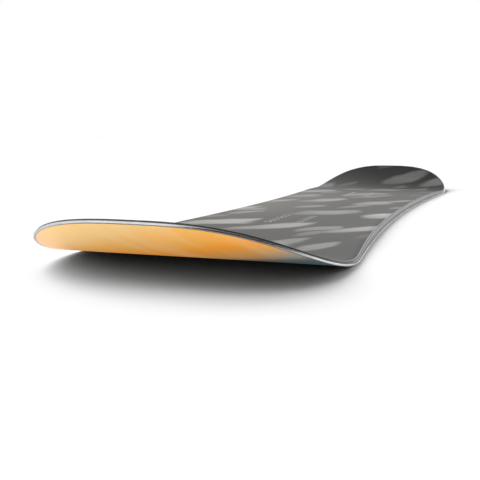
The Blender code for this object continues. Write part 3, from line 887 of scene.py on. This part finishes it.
def film_recipe(tree):
    """Satin deck film with printed strokes and a painted highlight on the bevel at the rim."""
    place = object_place(tree)
    x, y, _ = split(tree, place)
    light = ramp(tree, remap(tree, x, -HALF_LENGTH, HALF_LENGTH), STROKE_AND_TAIL_SHADE_GREYS)
    broad = strokes(tree, (STROKE_LENGTH, STROKE_WIDTH), STROKE_TURN, BROAD_SHIFT, BROAD_FILL)
    small = strokes(tree, SMALL_SIZE, SMALL_TURN, SMALL_SHIFT, SMALL_FILL)
    print_mask = maths(tree, "MAXIMUM", broad, maths(tree, "MULTIPLY", small, SMALL_SHADE))
    film_colour = mix(tree, print_mask, film_ground_and_sheen(tree, x, y), light)
    tint = mix(tree, noise(tree, place, 4.0, 2.0), COOL_TINT, WARM_TINT)
    film_colour = mix(tree, 1.0, film_colour, tint, "MULTIPLY")
    # Painted highlight ring round each screw hole.
    film_colour = mix(tree, insert_rings(tree, place), film_colour, RING_HIGHLIGHT_GREY)
    depth = written(tree, "depth")
    film_colour = mix(tree, remap(tree, depth, *RIM_SHADE_DEPTH, RIM_SHADE_SHARE, 0.0), film_colour, RIM_SHADE_GREY)
    # Painted highlight on the rim bevel.
    film_colour = mix(tree, remap(tree, depth, *RIM_HIGHLIGHT_DEPTH, 1.0, 0.0), film_colour, RIM_HIGHLIGHT_GREY)
    return {"Base Color": mix(tree, remap(tree, depth, *SIDE_FACE_DEPTH, 1.0, 0.0), film_colour, SIDE_FACE_GREY),
            "Normal": bump(tree, noise(tree, place, 900.0, 2.0), 0.25, 0.00006),
            "Roughness": remap(tree, print_mask, 0.0, 1.0, 0.58, 0.50),
            "Specular IOR Level": 0.02}


dress([film], new_material("deck_film", film_recipe))

# %% [markdown]
# The base is sintered polyethylene, printed from behind: peach at the nose tip, through orange to a blue
# grey, with soft slanted streaks. The orange is deeper where the tip lifts off, one side of each tip is
# rosier, and a blue mist lies over the change of colour on the other side. A stone grinder cuts fine lines
# along it, which let water out and give it a dull sheen: here a stretched noise.

# %% Base
BASE_SLANT = 0.72
BASE_DRIFT = 0.035
BASE_PRINT_END = 0.90
DEEP_TEAL = (0.045, 0.105, 0.135)
TEAL = (0.062, 0.110, 0.130)
DARK_BROWN = (0.165, 0.120, 0.080)
BROWN = (0.47, 0.26, 0.100)
SAND = (0.64, 0.33, 0.108)
DEEP_ORANGE = (0.92, 0.34, 0.033)
ORANGE = (0.92, 0.43, 0.078)
LIGHT_ORANGE = (0.92, 0.485, 0.128)
PEACH = (0.88, 0.56, 0.220)
PALE_PEACH = (0.89, 0.575, 0.240)
ROSE = (0.96, 0.48, 0.290)
EMBER = (1.0, 0.36, 0.040)
MIST = (0.11, 0.37, 0.50)
STREAK = (0.90, 0.66, 0.37)
BASE_PRINT = [(-0.90, PEACH), (-0.76, ORANGE), (-0.68, DEEP_ORANGE), (-0.60, SAND), (-0.53, TEAL),
              (0.06, DEEP_TEAL), (0.592, TEAL), (0.612, DARK_BROWN), (0.631, BROWN), (0.655, SAND),
              (0.688, DEEP_ORANGE), (0.715, ORANGE), (0.750, LIGHT_ORANGE), (0.780, PEACH),
              (0.82, PALE_PEACH)]
TIPS_FROM = (0.62, 0.68)
CHANGE_FROM, CHANGE_TO = (0.600, 0.630), (0.635, 0.670)
MIST_SIDE, MIST_SHARE = (0.08, 0.12), 0.45
ROSE_SIDE, ROSE_SHARE = (-0.125, -0.095), 0.55
EMBER_REACH, EMBER_SHARE = (0.675, 0.72), 0.35
STREAK_TURN = math.radians(10)
STREAK_STRETCH = (5.0, 34.0, 1.0)
STREAK_SHARE = 0.30
GRINDING_STRETCH = (6.0, 2600.0, 60.0)


def base_recipe(tree):
    """Printed running base with a stone-ground surface."""
    place = object_place(tree)
    x, y, _ = split(tree, place)
    drift = noise(tree, place, 7.0, 3.0)
    slant = maths(tree, "MULTIPLY_ADD", y, -BASE_SLANT, x)
    slant = maths(tree, "MULTIPLY_ADD", maths(tree, "SUBTRACT", drift, 0.5), BASE_DRIFT, slant)
    stops = [((metres + BASE_PRINT_END) / (2 * BASE_PRINT_END), colour) for metres, colour in BASE_PRINT]
    ground = ramp(tree, remap(tree, slant, -BASE_PRINT_END, BASE_PRINT_END), stops)
    from_middle = maths(tree, "ABSOLUTE", slant)
    at_tips = remap(tree, from_middle, *TIPS_FROM)
    at_change = maths(tree, "MULTIPLY", remap(tree, from_middle, *CHANGE_FROM),
                      remap(tree, from_middle, *CHANGE_TO, 1.0, 0.0))
    mist = remap(tree, y, *MIST_SIDE, 0.0, MIST_SHARE)
    rose = remap(tree, y, *ROSE_SIDE, ROSE_SHARE, 0.0)
    ember = remap(tree, maths(tree, "ABSOLUTE", x), *EMBER_REACH, EMBER_SHARE, 0.0)
    streaked = noise(tree, stretched(tree, STREAK_STRETCH, STREAK_TURN), 1.0, 2.0, 0.4)
    streak = remap(tree, streaked, 0.50, 0.72, 0.0, STREAK_SHARE)
    layers = [(mist, at_change, MIST), (rose, at_tips, ROSE), (ember, at_tips, EMBER),
              (streak, at_tips, STREAK)]
    for share, where, colour in layers:
        ground = mix(tree, maths(tree, "MULTIPLY", share, where), ground, colour)
    cut = noise(tree, stretched(tree, GRINDING_STRETCH), 1.0, 2.0, 0.6)
    return {"Base Color": ground, "Normal": bump(tree, cut, 0.30, 0.00004),
            "Roughness": remap(tree, cut, 0.3, 0.7, 0.36, 0.50), "Specular IOR Level": 0.08}


dress([base], new_material("base_plastic", base_recipe))

# %% [markdown]
# The steel edge leaves the factory ground and polished along its length. Its shine is streaked lengthwise,
# so roughness and bump come from noise that is stretched along the rim: the sweep wrote that distance on
# each point.

# %% Steel edges and rubber
WORN_STEEL, BRIGHT_STEEL = (0.63, 0.64, 0.65), (0.80, 0.81, 0.82)
GLANCING_STEEL = (0.62, 0.62, 0.64, 1.0)
RUBBER_DARK, RUBBER_DUSTY = (0.030, 0.030, 0.030), (0.060, 0.060, 0.058)


def rail_vector(tree, along_scale, section_scale):
    """A pattern space that follows a rail: distance along it, then depth and height in its section."""
    scales = {"along": along_scale, "across": section_scale, "up": section_scale}
    scaled = [maths(tree, "MULTIPLY", written(tree, name), scale) for name, scale in scales.items()]
    return add(tree, "CombineXYZ", dict(enumerate(scaled))).outputs[0]


def steel_recipe(tree):
    """Spring steel, ground lengthwise."""
    lines = noise(tree, rail_vector(tree, 14.0, 9000.0), 1.0, 3.0, 0.6)
    worn = noise(tree, rail_vector(tree, 40.0, 400.0), 1.0, 3.0)
    return {"Base Color": mix(tree, remap(tree, worn, 0.35, 0.65), WORN_STEEL, BRIGHT_STEEL),
            "Normal": bump(tree, lines, 0.35, 0.00002), "Metallic": 1.0, "Specular Tint": GLANCING_STEEL,
            "Roughness": remap(tree, lines, 0.3, 0.7, 0.17, 0.33)}


def rubber_recipe(tree):
    """Matt black bonding rubber."""
    grain = noise(tree, object_place(tree), 1500.0, 3.0)
    return {"Base Color": mix(tree, grain, RUBBER_DARK, RUBBER_DUSTY),
            "Normal": bump(tree, grain, 0.4, 0.00008), "Roughness": 0.85}


dress(steel_edges, new_material("edge_steel", steel_recipe))
dress(rubber_strips, new_material("edge_rubber", rubber_recipe))

# %% [markdown]
# Sidewalls and tip spacers are milled plastic. The cutter leaves fine lines along the face and a slight
# sheen, and the colour is a little darker where the lines are low. The tips are dark, the sidewalls
# grey.

# %% Milled plastic
SIDEWALL_GREYS = ((0.15, 0.15, 0.145), (0.26, 0.26, 0.255))
TIP_GREYS = ((0.060, 0.060, 0.047), (0.110, 0.110, 0.092))


def milled_recipe(tree, dark, light):
    """Plastic with lengthwise cutter marks."""
    lines = noise(tree, rail_vector(tree, 12.0, 60.0), 1.0, 2.0, 0.6)
    mottle = noise(tree, object_place(tree), 60.0, 3.0)
    factor = maths(tree, "MULTIPLY_ADD", mottle, 0.4, maths(tree, "MULTIPLY", lines, 0.6))
    return {"Base Color": mix(tree, factor, dark, light), "Normal": bump(tree, lines, 0.3, 0.00004),
            "Roughness": remap(tree, lines, 0.3, 0.7, 0.34, 0.48)}


dress(side_walls, new_material("sidewall_plastic", milled_recipe, *SIDEWALL_GREYS))
dress(spacers, new_material("tip_plastic", milled_recipe, *TIP_GREYS))

# %% [markdown]
# Inside the stack, the plies are woven glass in clear epoxy, the core is poplar with harder beech under the
# inserts, and the inserts are turned stainless steel. From outside, only the upper ply's cut edge and the
# nuts in their holes show, but all the pieces are there for anyone who takes the stack apart, so each has
# its own finish.

# %% Glass, wood and inserts
BUNDLE_TURNS = (-45, 0, 45)
BUNDLE_SCALE = 95.0
GLASS_SHADE, GLASS_LIGHT = (0.52, 0.54, 0.47), (0.75, 0.76, 0.71)
MILLED_GLASS = (0.050, 0.052, 0.036)
POPLAR = ((0.56, 0.42, 0.25), (0.78, 0.65, 0.45), 22.0, 900.0)
BEECH = ((0.34, 0.20, 0.10), (0.56, 0.38, 0.22), 34.0, 1400.0)
STAINLESS = (0.60, 0.60, 0.61, 1.0)


def waves(tree, vector, scale, distortion, detail, detail_scale=1.0):
    """Wavy bands across Y, between 0 and 1."""
    inputs = {"Vector": vector, "Scale": scale, "Distortion": distortion, "Detail": detail,
              "Detail Scale": detail_scale}
    return add(tree, "TexWave", inputs, bands_direction="Y").outputs[1]


def glass_recipe(tree):
    """Glass cloth in epoxy: three directions of fibre bundles."""
    height = None
    for turn in BUNDLE_TURNS:
        bundles = waves(tree, stretched(tree, (1, 1, 1), math.radians(turn)), BUNDLE_SCALE, 1.2, 2.0)
        height = bundles if height is None else maths(tree, "MAXIMUM", height, bundles)
    milled = remap(tree, written(tree, "depth"), *SIDE_FACE_DEPTH, 1.0, 0.0)
    return {"Base Color": mix(tree, milled, mix(tree, height, GLASS_SHADE, GLASS_LIGHT), MILLED_GLASS),
            "Normal": bump(tree, height, 0.3, 0.00010), "Roughness": 0.50, "Specular IOR Level": 0.10}


def wood_recipe(tree, dark, light, ring_scale, pore_scale):
    """Planed wood with its grain along the board."""
    rings = waves(tree, stretched(tree, (0.6, 1, 1.6)), ring_scale, 5.0, 3.0, 1.2)
    pores = noise(tree, stretched(tree, (30, pore_scale, pore_scale)), 1.0, 3.0)
    factor = maths(tree, "MULTIPLY_ADD", pores, 0.45, maths(tree, "MULTIPLY", rings, 0.55))
    return {"Base Color": mix(tree, factor, dark, light), "Normal": bump(tree, pores, 0.4, 0.00008),
            "Roughness": 0.62}


def insert_recipe(tree):
    """Turned stainless steel."""
    marks = noise(tree, stretched(tree, (1, 1, 12)), 1200.0, 2.0)
    return {"Base Color": STAINLESS, "Normal": bump(tree, marks, 0.3, 0.00002), "Metallic": 1.0,
            "Roughness": remap(tree, marks, 0.3, 0.7, 0.22, 0.36)}


finish_of = {"fibreglass": new_material("fibreglass", glass_recipe),
             "soft_wood": new_material("soft_wood", wood_recipe, *POPLAR),
             "hard_wood": new_material("hard_wood", wood_recipe, *BEECH)}
kept = [name for name, node in nodes.items() if not node.hide_render]
for slot, finish in finish_of.items():
    dress([nodes[name] for name in kept if slot_of[name] == slot], finish)
dress([upper_glass], finish_of["fibreglass"])
dress(nuts, new_material("insert_steel", insert_recipe))
print("CAD pieces kept:", len(kept))

# %% [markdown]
# The studio is a white sweep under a wide soft light. The floor is a large plane that the camera sees as
# white, and it keeps the board's shadow. Seen from below it is clear, like the glass of a light table, and
# it casts no shadow, so that a second soft lamp under it lights the base.

# %% Floor
FLOOR_DROP = 0.0004
FLOOR_SIZE = 60.0
FLOOR_BOUNCE = (0.60, 0.60, 0.60)


def seen_directly(tree):
    """1 for rays from the camera, from a mirror or through glass."""
    path = add(tree, "LightPath")
    seen = maths(tree, "MAXIMUM", path.outputs["Is Camera Ray"], path.outputs["Is Glossy Ray"])
    return maths(tree, "MAXIMUM", seen, path.outputs["Is Transmission Ray"])


def stage_piece(name, bm):
    """A plain object of the studio, which isn't part of the board."""
    made = mesh_object(name, bm)
    material = bpy.data.materials.new(name)
    material.use_nodes = True
    material.node_tree.nodes.clear()
    made.data.materials.append(material)
    return made, material.node_tree


plane = bmesh.new()
bmesh.ops.create_grid(plane, x_segments=1, y_segments=1, size=FLOOR_SIZE / 2)
bmesh.ops.translate(plane, verts=plane.verts, vec=(0, 0, -FLOOR_DROP))
floor, floor_tree = stage_piece("floor", plane)
colour = mix(floor_tree, seen_directly(floor_tree), FLOOR_BOUNCE, (1.0, 1.0, 1.0))
paint = add(floor_tree, "BsdfDiffuse", {"Color": colour})
clear = add(floor_tree, "BsdfTransparent")
underside = add(floor_tree, "NewGeometry").outputs["Backfacing"]
both = add(floor_tree, "MixShader", {0: underside, 1: paint.outputs[0], 2: clear.outputs[0]})
add(floor_tree, "OutputMaterial", {0: both.outputs[0]})
floor.visible_shadow = False
print("Floor:", FLOOR_SIZE, "m wide,", FLOOR_DROP, "m under the board")

# %% [markdown]
# A photographer keeps polished steel from looking flat with a black flag: a dark card that only shows as a
# reflection. Here it stands to the right of the camera, where the curve of the nose mirrors it, so the edge
# turns from white to slate and back.

# %% Black flag
FLAG_DISTANCE = 1.60
FLAG_AZIMUTH = math.radians(61)
FLAG_WIDTH = 6.8
FLAG_LOW = 0.04
FLAG_HIGH = 3.00
FLAG_CLOTH = (0.03, 0.03, 0.035, 1.0)

card = bmesh.new()
bmesh.ops.create_grid(card, x_segments=1, y_segments=1, size=0.5)
bmesh.ops.scale(card, verts=card.verts, vec=(FLAG_HIGH - FLAG_LOW, FLAG_WIDTH, 1))
middle = Vector((HALF_LENGTH + FLAG_DISTANCE * math.cos(FLAG_AZIMUTH),
                 FLAG_DISTANCE * math.sin(FLAG_AZIMUTH), (FLAG_LOW + FLAG_HIGH) / 2))
upright = Matrix.Rotation(FLAG_AZIMUTH, 4, "Z") @ Matrix.Rotation(math.pi / 2, 4, "Y")
bmesh.ops.transform(card, verts=card.verts, matrix=Matrix.Translation(middle) @ upright)
flag, flag_tree = stage_piece("flag", card)
cloth = add(flag_tree, "BsdfDiffuse", {"Color": FLAG_CLOTH})
add(flag_tree, "OutputMaterial", {0: cloth.outputs[0]})
flag.visible_camera = flag.visible_diffuse = flag.visible_shadow = False
print("Flag's middle:", [round(value, 2) for value in middle])

# %% [markdown]
# The light is a white world, at a lower level for diffuse rays than for what is seen of it, and four soft
# suns. The key is a wide light to one side, low enough to shine in under the nose, and makes the shadow's
# long soft tail. It is left out of reflections, where so wide a disc would burn out the steel. A smaller
# back light on the same side draws the shadow's darker middle. A weak low light from behind on the other
# side puts a bright line on the steel edge. The last one shines up through the floor on the base. The base
# throws no coloured light down, so the shadow stays neutral.

# %% World and lamps
WORLD_LEVEL = 0.18
# Strength, then spread, azimuth and elevation in degrees
LAMPS = {"key": (3.40, 84, 281, 37), "back": (1.10, 36, 228, 34), "rim": (0.38, 26, 172, 13),
         "table": (2.24, 60, 0, -80)}


def make_lamp(name, strength, spread, azimuth, elevation):
    """A wide sun, placed by where it shines from."""
    lamp = in_scene(name, bpy.data.lights.new(name, "SUN"))
    lamp.data.energy = strength
    lamp.data.angle = math.radians(spread)
    towards = direction(math.radians(azimuth), math.radians(elevation))
    lamp.rotation_euler = towards.to_track_quat("Z", "Y").to_euler()
    return lamp


world = bpy.data.worlds.new("studio")
world.use_nodes = True
sky = world.node_tree
strength = remap(sky, seen_directly(sky), 0.0, 1.0, WORLD_LEVEL, 1.0)
set_inputs(sky, sky.nodes["Background"], {"Color": (1, 1, 1, 1), "Strength": strength})
bpy.context.scene.world = world
lamps = {name: make_lamp(name, *settings) for name, settings in LAMPS.items()}
lamps["key"].visible_glossy = False
base.visible_diffuse = False
bpy.context.scene.view_settings.view_transform = "Standard"
print("Lamps:", *lamps)
